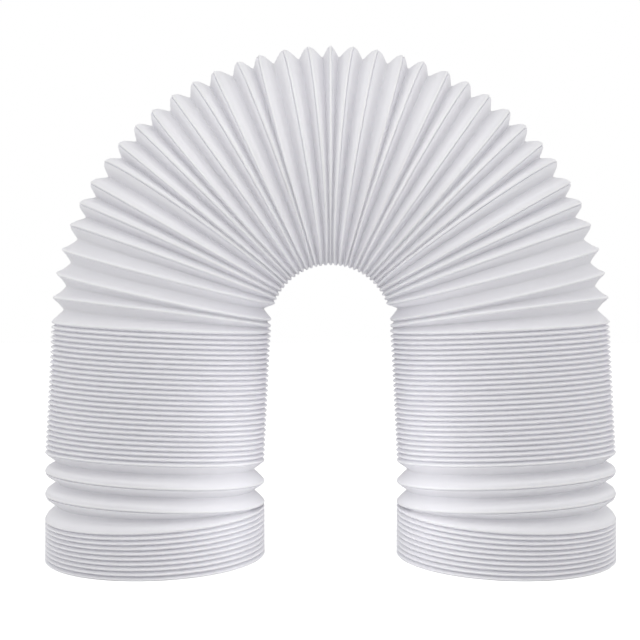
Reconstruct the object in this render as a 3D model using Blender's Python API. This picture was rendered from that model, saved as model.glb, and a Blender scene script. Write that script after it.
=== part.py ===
"""Exhaust hose of a portable air conditioner, standing as an arch on its two open ends.

The hose is one piece of moulded plastic. It is a thin wall of ring folds that open and close,
so it bends without creasing. Each fold line is a circle. This script works out where every
fold line lies, from the foot of one leg over the arch to the other foot, and lofts the wall
through them. Metres, +Z up, the arch stands in the XZ plane with its near side at -Y.
"""
import math

import bmesh
import bpy
from mathutils import Matrix

# Section of the hose
RIDGE_RADIUS = 0.0750      # crest of an open fold: a hose of 150 mm
FOLD_DEPTH = 0.0075        # crest to valley
WALL = 0.0009              # measured square to the hose's axis, at every fold line
CLOSED_PITCH = 0.00345     # crest to crest of folds that are pushed together
SLOT_DEPTH = 0.0014        # of the slot left between two closed crests
SIDES = 20

# Arch: folds that are open on the outer side and closed on the inner side
ARCH_RADIUS = 0.1165       # of the centre line
RIDGE_STEP = math.radians(4.88)    # from ridge to ridge, seen from the arch's centre
RING_TURN = math.radians(5.03)     # from ridge plane to ridge plane, a little more than a step

# Shoulder: two more ridges before the closed leg, as steps on round the arch
SHOULDER_STEPS = [math.radians(a) for a in (6.9, 5.5)]
SHOULDER_TILTS = [math.radians(a) for a in (12.6, 7.4)]
STACK_STEP = math.radians(4.9)

# Leg: closed folds pushed together into a stiff sleeve that leans inwards
STACK_LENGTH = 0.0896
LEG_LEAN = math.radians(2.85)

# Ankle: two open ridges, then a wedge fold that brings the foot level
ANKLE_PITCHES = [0.0136, 0.0149]
ANKLE_TILTS = [math.radians(a) for a in (3.7, 3.3)]
WEDGE_PITCH = 0.0101

# Collar: the closed folds that the hose stands on
COLLAR_HEIGHT = 0.0301
COLLAR_TILT = math.radians(-1.7)

# How far the near side of each fold line stands up the hose from its even place.
# The folds of a real hose open unevenly, and these follow the object, from the top down.
# Each lift stands for one ridge, so the arch has as many ridges a side as it has lifts.
ARCH_LIFTS = [0.0038, 0.0028, -0.0010, 0.0036, 0.0, 0.0026, 0.0004, -0.0024,
              0.0008, 0.0002, 0.0044, 0.0002, 0.0014, 0.0016, -0.0022]
SHOULDER_LIFTS = [-0.0022, 0.0012]
STACK_LIFTS = [-0.0018, 0.0042]
ANKLE_LIFTS = [0.0034, 0.0035]
COLLAR_LIFT = -0.0004

WHITE = (0.80, 0.80, 0.82, 1.0)


class Ring:
    """A fold line: a circle with its centre in the XZ plane.

    tilt turns its plane about Y, from level, and lift raises its near side along the hose.
    """

    def __init__(self, x, z, tilt, lift, kind):
        self.x = x
        self.z = z
        self.tilt = tilt
        self.lift = lift
        self.kind = kind

    def frame(self, radius):
        """Place of a circle of the given radius, axis up the hose."""
        lean = math.asin(self.lift / RIDGE_RADIUS)
        turn = Matrix.Rotation(self.tilt, 4, 'Y') @ Matrix.Rotation(-lean, 4, 'X')
        return Matrix.Translation((self.x, 0.0, self.z)) @ turn @ Matrix.Scale(radius, 4)


def between(upper, lower, share, kind):
    """A fold line at a share of the way from one ring down to the next."""
    pairs = zip((upper.x, upper.z, upper.tilt, upper.lift), (lower.x, lower.z, lower.tilt, lower.lift))
    return Ring(*(a + share * (b - a) for a, b in pairs), kind)


def arch_place(angle):
    """A point of the centre line, at an angle from the top towards -X."""
    return -ARCH_RADIUS * math.sin(angle), ARCH_RADIUS * math.cos(angle)


def left_ridges():
    """Ridges and sleeve ends of the -X half, from the top of the arch to the floor."""
    quarter = math.pi / 2
    rings = []
    for k, lift in enumerate([0.0] + ARCH_LIFTS):
        x, z = arch_place(k * RIDGE_STEP)
        rings.append(Ring(x, z, quarter - k * RING_TURN, lift, 'ridge'))

    angle = len(ARCH_LIFTS) * RIDGE_STEP
    for step, tilt, lift in zip(SHOULDER_STEPS, SHOULDER_TILTS, SHOULDER_LIFTS):
        angle += step
        x, z = arch_place(angle)
        rings.append(Ring(x, z, tilt, lift, 'ridge'))

    x, z = arch_place(angle + STACK_STEP)
    rings.append(Ring(x, z, LEG_LEAN, STACK_LIFTS[0], 'sleeve'))
    x -= STACK_LENGTH * math.sin(LEG_LEAN)
    z -= STACK_LENGTH * math.cos(LEG_LEAN)
    rings.append(Ring(x, z, LEG_LEAN, STACK_LIFTS[1], 'sleeve'))

    for pitch, tilt, lift in zip(ANKLE_PITCHES, ANKLE_TILTS, ANKLE_LIFTS):
        z -= pitch
        rings.append(Ring(x, z, tilt, lift, 'ridge'))

    z -= WEDGE_PITCH
    rings.append(Ring(x, z, COLLAR_TILT, COLLAR_LIFT, 'sleeve'))
    floor = z - COLLAR_HEIGHT
    rings.append(Ring(x, floor, 0.0, 0.0, 'sleeve'))
    for ring in rings:
        ring.z -= floor
    return rings


def mirrored(ring):
    """The same fold line on the +X half. Its axis runs on the same way round, so down the leg."""
    return Ring(-ring.x, ring.z, math.pi - ring.tilt, -ring.lift, ring.kind)


def closed_folds(upper, lower):
    """Slots and ridges of a closed stretch, between the ridges at its two ends."""
    length = math.dist((upper.x, upper.z), (lower.x, lower.z))
    steps = 2 * round(length / CLOSED_PITCH)
    return [between(upper, lower, n / steps, 'slot' if n % 2 else 'ridge') for n in range(1, steps)]


def fold_lines(ridges, on_outside):
    """Every fold line from foot to foot, from the ridges of the -X half.

    Only the outside shows the folds of a closed stretch. Inside they lie flat together.
    """
    half = [ridges[0]]
    for upper, lower in zip(ridges, ridges[1:]):
        if not (upper.kind == 'sleeve' and lower.kind == 'sleeve'):
            half.append(between(upper, lower, 0.5, 'valley'))
        elif on_outside:
            half += closed_folds(upper, lower)
        half.append(lower)
    return half[::-1] + [mirrored(ring) for ring in half[1:]]


def outer_radius(ring):
    depths = {'ridge': 0.0, 'sleeve': 0.0, 'slot': SLOT_DEPTH, 'valley': FOLD_DEPTH}
    return RIDGE_RADIUS - depths[ring.kind]


def inner_radius(ring):
    """A closed stretch is stood in for by a solid as thick as its folds are deep."""
    depths = {'ridge': 0.0, 'sleeve': FOLD_DEPTH, 'valley': FOLD_DEPTH}
    return RIDGE_RADIUS - WALL - depths[ring.kind]


def loft(name, frames, material, collection):
    """A closed solid through a closed row of circles, each joined to the next."""
    mesh = bmesh.new()
    circles = []
    for frame in frames:
        made = bmesh.ops.create_circle(mesh, segments=SIDES, radius=1.0, matrix=frame)
        circles.append(made['verts'])
    for here, there in zip(circles, circles[1:] + circles[:1]):
        for side in range(SIDES):
            after = (side + 1) % SIDES
            mesh.faces.new((here[side], here[after], there[after], there[side]))
    bmesh.ops.recalc_face_normals(mesh, faces=mesh.faces)
    data = bpy.data.meshes.new(name)
    mesh.to_mesh(data)
    mesh.free()
    data.materials.append(material)
    solid = bpy.data.objects.new(name, data)
    collection.objects.link(solid)
    return solid


def white_plastic():
    """Blown polypropylene, satin white."""
    material = bpy.data.materials.new('white_polypropylene')
    material.use_nodes = True
    shader = material.node_tree.nodes['Principled BSDF']
    shader.inputs['Base Color'].default_value = WHITE
    shader.inputs['Roughness'].default_value = 0.45
    shader.inputs['Metallic'].default_value = 0.0
    return material


def main():
    for old in list(bpy.data.objects):
        bpy.data.objects.remove(old, do_unlink=True)
    collection = bpy.data.collections.new('exhaust_hose')
    bpy.context.scene.collection.children.link(collection)

    ridges = left_ridges()
    outside = [ring.frame(outer_radius(ring)) for ring in fold_lines(ridges, on_outside=True)]
    inside = [ring.frame(inner_radius(ring)) for ring in fold_lines(ridges, on_outside=False)]
    hose = loft('hose', outside + inside[::-1], white_plastic(), collection)
    hose.data.shade_smooth()
    hose.data.set_sharp_from_angle(angle=math.radians(30))


main()
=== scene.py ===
# %% [markdown]
# # Exhaust hose of a portable air conditioner
# The real hose is one piece of blown polypropylene, a thin wall of round folds. Where the folds
# are pulled open the hose bends, and where they are pushed together it is a stiff sleeve.
# It could be modelled bent from the start, but every fold would then be a different shape.
# So it is made as the factory makes it: straight, all its folds alike. Bending it comes last.

import math

import bpy
import numpy as np
from mathutils import Matrix, Vector


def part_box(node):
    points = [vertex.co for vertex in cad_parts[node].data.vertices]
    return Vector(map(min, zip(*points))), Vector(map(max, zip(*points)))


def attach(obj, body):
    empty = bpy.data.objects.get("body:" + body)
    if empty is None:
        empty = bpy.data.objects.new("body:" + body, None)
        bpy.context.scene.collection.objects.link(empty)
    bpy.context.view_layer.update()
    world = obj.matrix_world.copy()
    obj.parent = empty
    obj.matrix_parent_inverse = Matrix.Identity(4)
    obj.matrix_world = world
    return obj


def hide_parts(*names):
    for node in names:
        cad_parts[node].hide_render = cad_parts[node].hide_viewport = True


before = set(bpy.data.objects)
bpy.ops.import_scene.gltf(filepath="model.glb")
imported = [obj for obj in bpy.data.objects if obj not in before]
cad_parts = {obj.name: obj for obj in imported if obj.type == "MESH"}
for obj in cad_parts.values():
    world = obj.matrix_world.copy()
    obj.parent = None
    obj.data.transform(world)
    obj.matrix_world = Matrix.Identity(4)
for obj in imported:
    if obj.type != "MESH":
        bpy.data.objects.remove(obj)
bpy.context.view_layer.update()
low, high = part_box("hose")
print("hose in the packed model:", [round(v, 4) for v in high - low], "m")

# %% [markdown]
# ## Sizes
# These are the sizes of the real hose, in metres. A fold is measured from crest to crest.
# An open fold as it leaves the mould is twice as long as it is deep, and a closed one is only as
# long as two thicknesses of the wall with the bead on its crest.

# %% Section of the hose
RIDGE_RADIUS = 0.0750
FOLD_DEPTH = 0.0075
WALL = 0.0008
OPEN_PITCH = 0.0150
CLOSED_PITCH = 0.00345
SLOT_DEPTH = 0.0029        # how far a closed fold can be looked into
RIM_HEIGHT = 0.0006        # the last crest stands this far above the cut end
SIDES = 75
MERGE = 0.00001
print("crest to valley", FOLD_DEPTH * 1000, "mm, across the crests", RIDGE_RADIUS * 2000, "mm")

# %% [markdown]
# ## One open fold
# The crest of a fold is a narrow bead. On its lower side the mould pressed a fine groove, the
# hinge, which draws the thin line round the hose. A circle is extruded and resized from row to
# row, which gives bead, both flanks, valley and groove. A row is its distance from the crest
# along the hose and its depth below it.

# %% Rows of an open fold
BEAD = 0.00060             # half its width
BEAD_DROP = 0.00012        # from the crest down to the bead's edge
HINGE = 0.00105            # from the crest to where the flank begins
LIP_DEPTH = 0.00045        # of the flank's upper end
GROOVE_DEPTH = 0.00130
FLANK_STEPS = (0.05, 0.30, 0.60, 0.86)
VALLEY_ROUND = 0.0004      # the flanks aim this far below the valley, which rounds it


def flank_row(share):
    """A row on the flank, at a share of the way from the hinge to the valley."""
    along = HINGE + share * (OPEN_PITCH / 2 - HINGE)
    depth = LIP_DEPTH + share * (FOLD_DEPTH + VALLEY_ROUND - LIP_DEPTH)
    return along, min(depth, FOLD_DEPTH)


def turned_over(rows, pitch):
    """The same rows, counted down from the next crest."""
    return [(pitch - along, depth) for along, depth in rows[::-1]]


bead = [(0.0, 0.0), (BEAD, BEAD_DROP)]
flank = [flank_row(share) for share in FLANK_STEPS]
upper_side = bead + [(HINGE, LIP_DEPTH)] + flank
lower_side = bead + [(HINGE, GROOVE_DEPTH)] + flank
open_rows = upper_side + [flank_row(1.0)] + turned_over(lower_side, OPEN_PITCH)
print(len(open_rows) - 1, "rows of faces in an open fold")

# %% A band turned from rows
def turned_band(name, rows, radius):
    """A round band: a circle at the crest, extruded along the hose and resized for each row."""
    bpy.ops.object.select_all(action='DESELECT')
    start = radius - rows[0][1]
    bpy.ops.mesh.primitive_circle_add(vertices=SIDES, radius=start, fill_type='NOTHING')
    band = bpy.context.object
    band.name = name
    bpy.ops.object.mode_set(mode='EDIT')
    bpy.ops.mesh.select_all(action='SELECT')
    for (last, last_depth), (along, depth) in zip(rows, rows[1:]):
        bpy.ops.mesh.extrude_region_move(TRANSFORM_OT_translate={"value": (0, 0, along - last)})
        grow = (radius - depth) / (radius - last_depth)
        bpy.ops.transform.resize(value=(grow, grow, 1), center_override=(0, 0, 0))
    bpy.ops.object.mode_set(mode='OBJECT')
    return band


open_fold = turned_band("open_fold", open_rows, RIDGE_RADIUS)
print("open fold:", [round(v, 4) for v in open_fold.dimensions])

# %% [markdown]
# ## One closed fold
# Pushed together, the flanks lie against each other and only the beads show, as a fine thread.
# What can be seen between two beads is a narrow dark slot, so a closed fold is modelled as its
# bead and that slot, and the rest of it is left out.

# %% Rows of a closed fold
THREAD_EDGE = (0.00045, 0.00022)       # where the bead's round top ends
THREAD_SIDE = (0.00095, 0.00115)       # where its side meets the slot
thread_rows = [(0.0, 0.0), THREAD_EDGE, THREAD_SIDE]
slot_row = (CLOSED_PITCH / 2, SLOT_DEPTH)
closed_rows = thread_rows + [slot_row] + turned_over(thread_rows, CLOSED_PITCH)
closed_fold = turned_band("closed_fold", closed_rows, RIDGE_RADIUS)
print("closed fold:", [round(v, 4) for v in closed_fold.dimensions])

# %% [markdown]
# ## The inside of the wall
# The hose is hollow and open at both ends, so the wall has an inside too. A Solidify modifier
# could give it, but it would double every row and cross itself where folds are pinched shut.
# The inside is seen only through the open ends, so it is turned with fewer rows.

# %% Inner bands
INNER_RADIUS = RIDGE_RADIUS - WALL
open_side = [(0.0, 0.0), (OPEN_PITCH / 4, FOLD_DEPTH / 2)]
open_inside = open_side + [(OPEN_PITCH / 2, FOLD_DEPTH)] + turned_over(open_side, OPEN_PITCH)
closed_inside = [(0.0, 0.0), (CLOSED_PITCH / 2, FOLD_DEPTH), (CLOSED_PITCH, 0.0)]
open_lining = turned_band("open_lining", open_inside, INNER_RADIUS)
closed_lining = turned_band("closed_lining", closed_inside, INNER_RADIUS)
print("rows inside an open fold:", len(open_inside) - 1)

# %% [markdown]
# ## Half of the straight hose
# Each leg has a collar of closed folds, two open ridges and a longer closed stack. The arch
# between the legs is open all the way. The photographed hose is its own mirror image, so only
# the half from the left foot to the top of the arch is put together, with the top at height 0.
# The folds are copied by an Array modifier, one stretch at a time.

# %% How many folds each stretch has, from the foot to the top of the arch
COLLAR_FOLDS = 9
ANKLE_FOLDS = 3
STACK_FOLDS = 26
HALF_ARCH_FOLDS = 18
leg = [("closed", COLLAR_FOLDS), ("open", ANKLE_FOLDS), ("closed", STACK_FOLDS)]
half = leg + [("open", HALF_ARCH_FOLDS)]
fold_pitch = {"open": OPEN_PITCH, "closed": CLOSED_PITCH}
half_length = sum(count * fold_pitch[kind] for kind, count in half)
print(2 * sum(count for kind, count in half), "folds in all")

# %% Copies of a fold, one above the other
def stretch_of(fold, pitch, count, start):
    """A copy of a fold's band, repeated along the hose from a height on."""
    bpy.ops.object.select_all(action='DESELECT')
    run = fold.copy()
    run.data = fold.data.copy()
    bpy.context.collection.objects.link(run)
    run.select_set(True)
    bpy.context.view_layer.objects.active = run
    array = run.modifiers.new("repeat", 'ARRAY')
    array.count = count
    array.use_relative_offset = False
    array.use_constant_offset = True
    array.constant_offset_displace = (0, 0, pitch)
    array.use_merge_vertices = True
    array.merge_threshold = MERGE
    bpy.ops.object.modifier_apply(modifier=array.name)
    run.location.z = start
    bpy.ops.object.transform_apply(location=True, rotation=False, scale=False)
    return run


bands = {"open": (open_fold, open_lining), "closed": (closed_fold, closed_lining)}
runs = []
start = -half_length
for kind, count in half:
    for band in bands[kind]:
        runs.append(stretch_of(band, fold_pitch[kind], count, start))
    start += count * fold_pitch[kind]
print("length of the straight hose:", round(2 * half_length, 3), "m")

# %% Join the stretches
bpy.ops.object.select_all(action='DESELECT')
for run in runs:
    run.select_set(True)
bpy.context.view_layer.objects.active = runs[0]
bpy.ops.object.join()
hose = bpy.context.object
hose.name = "hose_wall"
for band in (open_fold, closed_fold, open_lining, closed_lining):
    bpy.data.objects.remove(band, do_unlink=True)
bpy.ops.object.mode_set(mode='EDIT')
bpy.ops.mesh.select_all(action='SELECT')
bpy.ops.mesh.remove_doubles(threshold=MERGE)
bpy.ops.object.mode_set(mode='OBJECT')
print(len(hose.data.vertices), "points in the joined walls")

# %% [markdown]
# ## The cut end, and the other half
# At its foot the hose is cut just past a crest. The outer wall is extruded to the cut, drawn in
# by the thickness of the wall and welded to the lining. Then a Mirror modifier makes the other
# half, and the tube is one closed skin.

# %% Rim
def select_ring(mesh, height, radius):
    """Select the edges of the ring at a height and radius, and nothing else."""
    for part in (mesh.vertices, mesh.edges, mesh.polygons):
        part.foreach_set("select", [False] * len(part))
    for edge in mesh.edges:
        ends = [mesh.vertices[i].co for i in edge.vertices]
        if all(abs(p.z - height) < MERGE and abs(p.xy.length - radius) < MERGE for p in ends):
            edge.select = True
            for i in edge.vertices:
                mesh.vertices[i].select = True


def next_ring(rise, radius, last_radius):
    """Extrude the selected ring along the hose and give it a new radius."""
    bpy.ops.mesh.extrude_region_move(TRANSFORM_OT_translate={"value": (0, 0, rise)})
    grow = radius / last_radius
    bpy.ops.transform.resize(value=(grow, grow, 1), center_override=(0, 0, 0))


rim_radius = RIDGE_RADIUS - RIM_HEIGHT
select_ring(hose.data, -half_length, RIDGE_RADIUS)
bpy.ops.object.mode_set(mode='EDIT')
bpy.ops.mesh.select_mode(type='EDGE')
next_ring(-RIM_HEIGHT, rim_radius, RIDGE_RADIUS)
next_ring(0.0, rim_radius - WALL, rim_radius)
next_ring(RIM_HEIGHT, INNER_RADIUS, rim_radius - WALL)
bpy.ops.mesh.select_all(action='SELECT')
bpy.ops.mesh.remove_doubles(threshold=MERGE)
bpy.ops.mesh.normals_make_consistent(inside=False)
bpy.ops.object.mode_set(mode='OBJECT')
print("rim:", round(rim_radius - WALL, 4), "to", round(rim_radius, 4), "m from the axis")

# %% Other half
mirror = hose.modifiers.new("other_half", 'MIRROR')
mirror.use_axis = (False, False, True)
mirror.merge_threshold = MERGE
bpy.ops.object.modifier_apply(modifier=mirror.name)
edge_use = np.zeros(len(hose.data.edges), int)
np.add.at(edge_use, [loop.edge_index for loop in hose.data.loops], 1)
print("open edges left:", int((edge_use != 2).sum()))

# %% [markdown]
# ## Where each crest goes
# Over the arch the crests fan out from the arch's centre, open on the outer side and pinched on
# the inner side. At each shoulder three folds turn level, and the stack leans inwards a little.
# Each crest is a circle with its centre in the plane of the arch: a place, a tilt, and a lift,
# which is how far its near side stands up the hose. The lifts follow the real hose, whose folds
# open unevenly.

# %% Crests of the arch and the shoulder
ARCH_RADIUS = 0.1165                   # of the centre line
RIDGE_STEP = math.radians(4.88)        # from crest to crest, seen from the arch's centre
RING_TURN = math.radians(5.03)         # between the planes of two crests
SHOULDER_STEPS = [math.radians(a) for a in (6.9, 5.5)]
SHOULDER_TILTS = [math.radians(a) for a in (12.6, 7.4)]
STACK_STEP = math.radians(4.9)
ARCH_LIFTS = [0.0038, 0.0028, -0.0010, 0.0036, 0.0, 0.0026, 0.0004, -0.0024,
              0.0008, 0.0002, 0.0044, 0.0002, 0.0014, 0.0016, -0.0022]
SHOULDER_LIFTS = [-0.0022, 0.0012]


def arch_place(angle):
    """A point of the centre line, at an angle from the top towards the left."""
    return -ARCH_RADIUS * math.sin(angle), ARCH_RADIUS * math.cos(angle)


crests = []
for k, lift in enumerate([0.0] + ARCH_LIFTS):
    crests.append((*arch_place(k * RIDGE_STEP), math.pi / 2 - k * RING_TURN, lift))
angle = len(ARCH_LIFTS) * RIDGE_STEP
for step, tilt, lift in zip(SHOULDER_STEPS, SHOULDER_TILTS, SHOULDER_LIFTS):
    angle += step
    crests.append((*arch_place(angle), tilt, lift))
print(2 * len(crests) - 1, "open crests over the arch")

# %% Crests of the leg
LEG_LEAN = math.radians(2.85)
STACK_LENGTH = 0.0896
STACK_LIFTS = [-0.0018, 0.0042]
ANKLE_PITCHES = [0.0136, 0.0149]
ANKLE_TILTS = [math.radians(a) for a in (3.7, 3.3)]
ANKLE_LIFTS = [0.0034, 0.0035]
WEDGE_PITCH = 0.0101
COLLAR_HEIGHT = 0.0301
COLLAR_TILT = math.radians(-1.7)
COLLAR_LIFT = -0.0004

x, z = arch_place(angle + STACK_STEP)
crests.append((x, z, LEG_LEAN, STACK_LIFTS[0]))
x -= STACK_LENGTH * math.sin(LEG_LEAN)
z -= STACK_LENGTH * math.cos(LEG_LEAN)
crests.append((x, z, LEG_LEAN, STACK_LIFTS[1]))
for pitch, tilt, lift in zip(ANKLE_PITCHES, ANKLE_TILTS, ANKLE_LIFTS):
    z -= pitch
    crests.append((x, z, tilt, lift))
z -= WEDGE_PITCH
crests.append((x, z, COLLAR_TILT, COLLAR_LIFT))
floor = z - COLLAR_HEIGHT
crests.append((x, floor + RIM_HEIGHT, 0.0, 0.0))
print("foot centred at x =", round(x, 4))

# %% Crests from foot to foot
left = [(x, z - floor, tilt, lift) for x, z, tilt, lift in crests]
right = [(-x, z, math.pi - tilt, -lift) for x, z, tilt, lift in left[1:]]
all_crests = left[::-1] + right
pitches = []
for kind, count in half:
    pitches += [OPEN_PITCH] * count if kind == "open" else [CLOSED_PITCH * count]
pitches = np.array(pitches + pitches[::-1])
is_open = pitches == OPEN_PITCH
heights = np.concatenate([[0.0], np.cumsum(pitches)]) - half_length
print(len(all_crests), "crests for", len(heights), "heights on the straight hose")

# %% [markdown]
# ## Bending it
# A point of the straight hose is known by its height, its radius and its angle round the axis.
# Near a crest it keeps its distance from it, so the bead stays as wide as it is. On a flank it
# lies between the crest's circle and the valley's, however far apart they are at that angle.
# Angle 0 is always the inner side of the arch and of the legs.

# %% Circles of the bent hose
def frames_of(rings):
    """Centre and axes of each circle, as arrays: across the arch, sideways, and up the hose."""
    placed = []
    for x, z, tilt, lift in rings:
        lean = math.asin(lift / RIDGE_RADIUS)
        turn = Matrix.Rotation(tilt, 3, 'Y') @ Matrix.Rotation(-lean, 3, 'X')
        placed.append([(x, 0.0, z), turn.col[0], turn.col[1], turn.col[2]])
    return np.array(placed)


# A valley lies nearer to the crest on the side of the arch's top, by this share of the fold.
LEAN = 0.04
TOP_LEANS = [0.12, 0.06, 0.0, 0.08, 0.12]      # of the folds next to the top, from the top down
climb_leans = [LEAN] * (len(left) - 1 - len(TOP_LEANS)) + TOP_LEANS[::-1]
leans = climb_leans + [-lean for lean in climb_leans[::-1]]
valleys = []
for lean, lower, upper in zip(leans, all_crests, all_crests[1:]):
    valleys.append(tuple(a + (0.5 + lean) * (b - a) for a, b in zip(lower, upper)))
crest_frames = frames_of(all_crests)
valley_frames = frames_of(valleys)
print("frames:", crest_frames.shape, valley_frames.shape)

# %% [markdown]
# ## How the folds differ
# The flanks of the real folds aren't flat. Some bulge, which rounds the crest and sharpens the
# valley, and some are drawn in, which does the opposite. Where folds are pinched their flanks
# touch, so the slot between two crests is no deeper than it is wide. A mesh of its own for each
# fold could show this, but a few numbers for each crest do it in one go.

# %% Bulge beside each crest, from the foot to the top of the arch
FOOT_BULGES = [0.0, 0.0010]
ANKLE_BULGES = [0.0014, 0.0014]
STACK_BULGES = [0.0002, 0.0]
SHOULDER_BULGES = [-0.0008, -0.0010]
ARCH_BULGES = [-0.0008, 0.0004] + [0.0011] * 9 + [0.0010] * 4 + [0.0004]
climb = FOOT_BULGES + ANKLE_BULGES + STACK_BULGES + SHOULDER_BULGES + ARCH_BULGES
bulges = np.array(climb + climb[-2::-1])
print(len(bulges), "bulges for", len(all_crests), "crests")

# A bulge is largest a third of the way down the flank, and leaves the valley as open as it was.
BULGE_SCALE = 27 / 4       # makes the largest value of s (1 - s)^2 one
FLAT_SIDE = 0.8            # how much of it is missing on the inner side of the arch and the legs

# %% Depth of a slot
CREST_PINCH = 0.7          # how much of a hinge groove's depth goes where folds are pinched shut
HINGE_ROOM = 4.5           # crests fewer hinges apart than this draw their beads in
SLOT_GAP = 0.0100          # crests this far apart show four fifths of the fold between them
SLOT_RISE = 1.45           # how steeply the depth grows with the gap
WEDGE_DEPTH = 0.8          # share of the depth that shows at the inner end of the wedge folds
INNER_END = 0.90           # cosine of the angle where that end begins
INNER_FADE = 0.06          # how much more of the cosine it takes to open that far
wedge_depths = np.zeros(len(valleys))
wedge_depths[[1, -2]] = WEDGE_DEPTH


def slot_depth(gap):
    """The share of a fold's depth that can be looked into, for the gap between its crests."""
    return np.tanh((gap / SLOT_GAP) ** SLOT_RISE) / np.tanh((OPEN_PITCH / SLOT_GAP) ** SLOT_RISE)


print("share of the depth seen with crests 5 mm apart:", round(float(slot_depth(0.005)), 2))

# %% Slow waves along the crests
WAVE_SEED = 11
CREST_WAVE = 0.00014
THREAD_WAVE = 0.00003
rng = np.random.default_rng(WAVE_SEED)
crest_waves = rng.normal(0.0, 1.0, (len(all_crests), 4))
thread_waves = rng.normal(0.0, 1.0, (len(all_crests) + STACK_FOLDS, 4))


def waviness(draws, around):
    """A slow wave round the hose, in units of its own size, one for each row of four draws."""
    return (draws[:, 0] * np.sin(2 * around) + draws[:, 1] * np.cos(2 * around)
            + draws[:, 2] * np.sin(3 * around) + draws[:, 3] * np.cos(3 * around)) / 2


print("waves:", len(crest_waves), "on the crests and", len(thread_waves), "on the threads")

# %% Points on circles
def on_circle(frames, radius, around):
    """Points at a radius and angle on each point's own circle."""
    across = (radius * np.cos(around))[:, None] * frames[:, 1]
    side = (radius * np.sin(around))[:, None] * frames[:, 2]
    return frames[:, 0] + across + side


def crest_gap(lower, around):
    """How far apart the crests below and above each point are, at its angle."""
    below = on_circle(crest_frames[lower], RIDGE_RADIUS, around)
    above = on_circle(crest_frames[lower + 1], RIDGE_RADIUS, around)
    return np.linalg.norm(above - below, axis=1)


# %% Points of open folds
def on_open_folds(height, radius, around, lower):
    """Near a crest a point keeps to it, and farther down it lies on the flank."""
    past = height - heights[lower]
    short = heights[lower + 1] - height
    near = np.where(past <= short, lower, lower + 1)
    offset = np.where(past <= short, past, -short)
    share = np.clip((np.abs(offset) - HINGE) / (OPEN_PITCH / 2 - HINGE), 0, 1)
    gap = crest_gap(lower, around)
    inner_end = np.clip((np.cos(around) - INNER_END) / INNER_FADE, 0, 1)
    seen = np.maximum(slot_depth(gap), wedge_depths[lower] * inner_end)
    pinched = (1 - seen) * (CREST_PINCH + (1 - CREST_PINCH) * share)
    full = RIDGE_RADIUS - (RIDGE_RADIUS - radius) * (1 - pinched)
    bulge = bulges[near] * (1 - FLAT_SIDE * np.maximum(np.cos(around), 0))
    full += bulge * seen * BULGE_SCALE * share * (1 - share) ** 2
    wave = CREST_WAVE * waviness(crest_waves[near], around) * (1 - share)
    room = np.minimum(1.0, gap / (HINGE_ROOM * HINGE))
    along = np.clip(offset, -HINGE, HINGE) * room + wave
    crest = on_circle(crest_frames[near], full, around) + along[:, None] * crest_frames[near, 3]
    valley = on_circle(valley_frames[lower], full, around)
    return crest + share[:, None] * (valley - crest)


# %% Points of closed folds
def on_closed_folds(height, radius, around, lower):
    """The folds of a closed stretch share its length evenly, each with a faint wave of its own."""
    past = height - heights[lower]
    count = past / CLOSED_PITCH
    thread = lower + np.round(count).astype(int)
    nearness = 0.5 + 0.5 * np.cos(2 * math.pi * count)
    wave = THREAD_WAVE * waviness(thread_waves[thread % len(thread_waves)], around) * nearness
    part = past / (heights[lower + 1] - heights[lower])
    start = on_circle(crest_frames[lower], radius, around)
    stop = on_circle(crest_frames[lower + 1], radius, around)
    return start + part[:, None] * (stop - start) + wave[:, None] * crest_frames[lower, 3]


# %% Bend the straight hose
def bent(points):
    """Where points of the straight hose lie on the bent one."""
    height = points[:, 2]
    radius = np.hypot(points[:, 0], points[:, 1])
    around = np.arctan2(points[:, 1], points[:, 0])
    lower = np.clip(np.searchsorted(heights, height + MERGE) - 1, 0, len(valleys) - 1)
    opened = on_open_folds(height, radius, around, lower)
    closed = on_closed_folds(height, radius, around, lower)
    return np.where(is_open[lower][:, None], opened, closed)


straight = np.empty(len(hose.data.vertices) * 3)
hose.data.vertices.foreach_get("co", straight)
straight = straight.reshape(-1, 3)
shaped = bent(straight)
shaped[:, 2] = np.maximum(shaped[:, 2], 0.0)
print("bent box:", shaped.min(axis=0).round(4), shaped.max(axis=0).round(4))

# %% [markdown]
# ## Marks for the finish
# The finish needs to know where it is on the wall. The straight hose tells it: a UV map is the
# wall unrolled, in metres, and an attribute is 1 on a crest and falls to 0 away from it.
# Marks painted by hand would do as well, but not on every one of more than a hundred folds.

# %% UV map and crest attribute
SHARP_FROM = math.radians(75)


def unrolled(mesh, points):
    """A UV map of the wall, round the hose and along it, and a mark on the crests."""
    loops = np.array([loop.vertex_index for loop in mesh.loops])
    turn = np.arctan2(points[loops, 1], points[loops, 0]) / (2 * math.pi)
    corners = turn.reshape(-1, 4)
    over_seam = corners.max(axis=1) - corners.min(axis=1) > 0.5
    corners[over_seam[:, None] & (corners < 0)] += 1
    flat = np.stack([corners.ravel() * 2 * math.pi * RIDGE_RADIUS, points[loops, 2]], axis=1)
    layer = mesh.uv_layers.new(name="wall")
    layer.data.foreach_set("uv", flat.ravel())
    depth = RIDGE_RADIUS - np.hypot(points[:, 0], points[:, 1])
    mark = mesh.attributes.new("crest", 'FLOAT', 'POINT')
    mark.data.foreach_set("value", np.clip(1 - depth / SLOT_DEPTH, 0, 1))


unrolled(hose.data, straight)
hose.data.vertices.foreach_set("co", shaped.ravel())
hose.data.update()
bpy.ops.object.shade_smooth_by_angle(angle=SHARP_FROM)
print("hose wall:", 2 * len(hose.data.polygons), "triangles")
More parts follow.
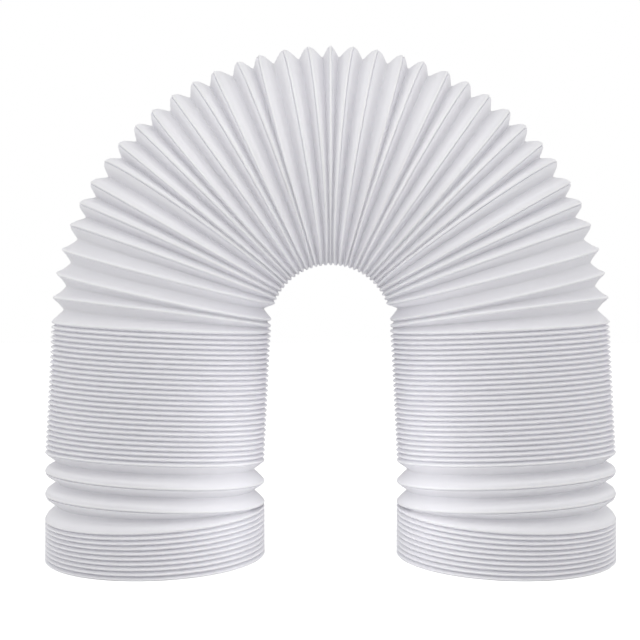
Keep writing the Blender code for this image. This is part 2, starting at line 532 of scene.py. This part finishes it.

# %% [markdown]
# ## The finish
# Blown polypropylene is white, satin and slightly see-through, so light that enters a fold
# comes out softened. The mould leaves a very fine grain. The crests get a painted highlight,
# a brighter white that stands in for the light they catch.
# One even colour would look like paper. So the white drifts a little from place to place, the
# gloss drifts with it, and light travels a few millimetres inside the wall.

# %% Whites and grain
SHADED_WHITE = (0.852, 0.845, 0.892, 1.0)
CLEAR_WHITE = (0.876, 0.870, 0.915, 1.0)
# Painted highlight: the crests are painted this brighter white in place of the light they catch.
CREST_HIGHLIGHT_WHITE = (0.925, 0.922, 0.940, 1.0)
HIGHLIGHT_FROM = 0.93         # of the crest mark
HIGHLIGHT_SHARE = 0.75        # how much of the painted highlight's white shows on a crest
LIGHT_REACH = (0.0030, 0.0030, 0.0032)
CLOUD_SCALE = 14.0
DULL = 0.50                # roughness where the plastic is dull, and where it is glossy
GLOSSY = 0.38
GRAIN_SCALE = 1800.0
GRAIN_HEIGHT = 0.0001
GRAIN_STRENGTH = 0.15


def noise(tree, place, scale, detail):
    """A noise texture on the piece's own coordinates."""
    texture = tree.nodes.new("ShaderNodeTexNoise")
    texture.inputs["Scale"].default_value = scale
    texture.inputs["Detail"].default_value = detail
    tree.links.new(place.outputs["Object"], texture.inputs["Vector"])
    return texture


def mixed(tree, factor, first, second):
    """A mix of two colours. The first may come from a node, and the second is one colour."""
    mix = tree.nodes.new("ShaderNodeMix")
    mix.data_type = 'RGBA'
    if isinstance(first, tuple):
        mix.inputs["A"].default_value = first
    else:
        tree.links.new(first, mix.inputs["A"])
    mix.inputs["B"].default_value = second
    tree.links.new(factor, mix.inputs["Factor"])
    return mix


print("grain:", round(1000 / GRAIN_SCALE, 2), "mm from speck to speck")

# %% White polypropylene
def white_polypropylene():
    """Satin white plastic with a fine grain, a drifting tone and a painted highlight on the
    crests.
    """
    material = bpy.data.materials.new("white_polypropylene")
    material.use_nodes = True
    tree = material.node_tree
    shader = tree.nodes["Principled BSDF"]
    shader.inputs["Subsurface Weight"].default_value = 0.40
    shader.inputs["Subsurface Radius"].default_value = LIGHT_REACH
    shader.inputs["Subsurface Scale"].default_value = 1.0
    shader.inputs["IOR"].default_value = 1.49

    place = tree.nodes.new("ShaderNodeTexCoord")
    cloud = noise(tree, place, CLOUD_SCALE, detail=3.0)
    tone = mixed(tree, cloud.outputs["Fac"], SHADED_WHITE, CLEAR_WHITE)

    crest = tree.nodes.new("ShaderNodeAttribute")
    crest.attribute_name = "crest"
    # Painted highlight: the crest mark lightens the colour of the crests towards a brighter white.
    painted_highlight = tree.nodes.new("ShaderNodeMapRange")
    painted_highlight.inputs["From Min"].default_value = HIGHLIGHT_FROM
    painted_highlight.inputs["From Max"].default_value = 1.0
    painted_highlight.inputs["To Max"].default_value = HIGHLIGHT_SHARE
    tree.links.new(crest.outputs["Fac"], painted_highlight.inputs["Value"])
    colour = mixed(tree, painted_highlight.outputs["Result"], tone.outputs["Result"], CREST_HIGHLIGHT_WHITE)
    tree.links.new(colour.outputs["Result"], shader.inputs["Base Color"])

    shine = tree.nodes.new("ShaderNodeMapRange")
    shine.inputs["To Min"].default_value = DULL
    shine.inputs["To Max"].default_value = GLOSSY
    tree.links.new(cloud.outputs["Fac"], shine.inputs["Value"])
    tree.links.new(shine.outputs["Result"], shader.inputs["Roughness"])

    grain = noise(tree, place, GRAIN_SCALE, detail=2.0)
    bump = tree.nodes.new("ShaderNodeBump")
    bump.inputs["Strength"].default_value = GRAIN_STRENGTH
    bump.inputs["Distance"].default_value = GRAIN_HEIGHT
    tree.links.new(grain.outputs["Fac"], bump.inputs["Height"])
    tree.links.new(bump.outputs["Normal"], shader.inputs["Normal"])
    return material


plastic = white_polypropylene()
hose.data.materials.clear()
hose.data.materials.append(plastic)
print("finish:", plastic.name, "with", len(plastic.node_tree.nodes), "nodes")

# %% Put the hose in the frame
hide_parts("hose")
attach(hose, "root")
print("the hose wall stands for the hose node")

# %% [markdown]
# ## Floor
# A pale studio floor. The camera sees it as bright as the white background, so there is no
# horizon, but it throws up no more light than pale paper does.

# %% Floor
FLOOR_SIZE = 12.0
FLOOR_TONE = 0.74
FLOOR_ROUGHNESS = 0.9
SEEN_GLOW = 0.60           # brings the floor up to white for the camera alone
PURE_WHITE = (1.0, 1.0, 1.0, 1.0)
bpy.ops.object.select_all(action='DESELECT')
bpy.ops.mesh.primitive_plane_add(size=FLOOR_SIZE, location=(0, 0, 0))
ground = bpy.context.object
ground.name = "floor"
paper = bpy.data.materials.new("pale_floor")
paper.use_nodes = True
nodes = paper.node_tree.nodes
link = paper.node_tree.links.new
surface = nodes["Principled BSDF"]
surface.inputs["Base Color"].default_value = (FLOOR_TONE, FLOOR_TONE, FLOOR_TONE, 1.0)
surface.inputs["Roughness"].default_value = FLOOR_ROUGHNESS
surface.inputs["Emission Color"].default_value = PURE_WHITE
sight = nodes.new("ShaderNodeLightPath")
glow = nodes.new("ShaderNodeMapRange")
glow.inputs["To Min"].default_value = 0.0
glow.inputs["To Max"].default_value = SEEN_GLOW
link(sight.outputs["Is Camera Ray"], glow.inputs["Value"])
link(glow.outputs["Result"], surface.inputs["Emission Strength"])
ground.data.materials.append(paper)
print("floor:", FLOOR_SIZE, "m square")

# %% [markdown]
# ## Light
# A wide soft panel hangs over the hose, a little to the front. A low, wide panel in front of the
# arch keeps its folds soft and lights the shoulders. A row of small lamps between the legs lights
# their inner sides, which are brighter in the photograph than their middles, and a low lamp on
# each side lights the undersides of the folds at the shoulders.

# %% Kinds of light
def put_light(data, place):
    """A light at a place, which the camera doesn't see."""
    light = bpy.data.objects.new(data.name, data)
    bpy.context.scene.collection.objects.link(light)
    light.location = place
    light.visible_camera = False
    return light


def soft_panel(name, place, aim, size, power):
    """A rectangular light that faces a point."""
    data = bpy.data.lights.new(name, 'AREA')
    data.shape = 'RECTANGLE'
    data.size, data.size_y = size
    data.energy = power
    panel = put_light(data, place)
    panel.rotation_euler = (Vector(aim) - Vector(place)).to_track_quat('-Z', 'Y').to_euler()
    return panel


def round_lamp(name, place, radius, power):
    """A small round light that shines all round."""
    data = bpy.data.lights.new(name, 'POINT')
    data.energy = power
    data.shadow_soft_size = radius
    return put_light(data, place)


# %% Panels and lamps, with their powers in watts
TOP_POWER = 1.75
FRONT_POWER = 0.098
GAP_POWER = 0.030
GAP_LAMP_RADIUS = 0.03
GAP_LAMP_HEIGHTS = (0.03, 0.07, 0.11)
SIDE_POWER = 0.18
SIDE_LAMP_RADIUS = 0.08
SIDE_LAMP_X = 0.40

soft_panel("top_panel", (0.0, -0.45, 1.15), (0.0, 0.0, 0.15), (0.9, 0.9), TOP_POWER)
soft_panel("front_panel", (0.0, -0.26, 0.28), (0.0, 0.0, 0.26), (0.36, 0.12), FRONT_POWER)
for height in GAP_LAMP_HEIGHTS:
    round_lamp("gap_lamp", (0.0, -0.08, height), GAP_LAMP_RADIUS, GAP_POWER)
for side in (-1, 1):
    round_lamp("side_lamp", (side * SIDE_LAMP_X, -0.20, 0.10), SIDE_LAMP_RADIUS, SIDE_POWER)

# %% [markdown]
# ## White room
# A pale room lights the hose from all round, a little more from the sides than from the front.
# The camera sees it as pure white, like the background of the photograph.

# %% Light of the room
ROOM_FRONT = 0.63
ROOM_SIDES = 1.02
room = bpy.data.worlds.new("white_room")
room.use_nodes = True
bpy.context.scene.world = room
nodes = room.node_tree.nodes
link = room.node_tree.links.new
fill = nodes["Background"]
fill.inputs["Color"].default_value = PURE_WHITE
towards = nodes.new("ShaderNodeTexCoord")
parts = nodes.new("ShaderNodeSeparateXYZ")
link(towards.outputs["Generated"], parts.inputs["Vector"])
sideways = nodes.new("ShaderNodeMath")
sideways.operation = 'ABSOLUTE'
link(parts.outputs["X"], sideways.inputs[0])
strength = nodes.new("ShaderNodeMapRange")
strength.inputs["To Min"].default_value = ROOM_FRONT
strength.inputs["To Max"].default_value = ROOM_SIDES
link(sideways.outputs["Value"], strength.inputs["Value"])
link(strength.outputs["Result"], fill.inputs["Strength"])
print("room:", ROOM_FRONT, "from the front,", ROOM_SIDES, "from the sides")

# %% What the camera sees of it
white = nodes.new("ShaderNodeBackground")
white.inputs["Color"].default_value = PURE_WHITE
white.inputs["Strength"].default_value = 1.0
rays = nodes.new("ShaderNodeLightPath")
either = nodes.new("ShaderNodeMixShader")
link(rays.outputs["Is Camera Ray"], either.inputs["Fac"])
link(fill.outputs["Background"], either.inputs[1])
link(white.outputs["Background"], either.inputs[2])
link(either.outputs["Shader"], nodes["World Output"].inputs["Surface"])
bpy.context.scene.view_settings.view_transform = 'Standard'
print("nodes in the room:", len(nodes))

# %% [markdown]
# ## Camera
# The photograph was taken level, from the front, at about the height of the arch's centre.
# The hose stands a little to the right of the middle of its frame.

# %% Camera
CAMERA_DISTANCE = 0.696
CAMERA_HEIGHT = 0.1625
FOCAL_LENGTH = 56.25       # mm, as the sensor's width is
SENSOR_WIDTH = 36.0
FRAME_SHIFT = -0.0166      # of the width of the frame
camera_data = bpy.data.cameras.new("camera")
camera_data.lens = FOCAL_LENGTH
camera_data.sensor_width = SENSOR_WIDTH
camera_data.shift_x = FRAME_SHIFT
camera = bpy.data.objects.new("camera", camera_data)
bpy.context.scene.collection.objects.link(camera)
camera.location = (0.0, -CAMERA_DISTANCE, CAMERA_HEIGHT)
camera.rotation_euler = (math.pi / 2, 0.0, 0.0)
bpy.context.scene.camera = camera
print("camera at", tuple(camera.location))
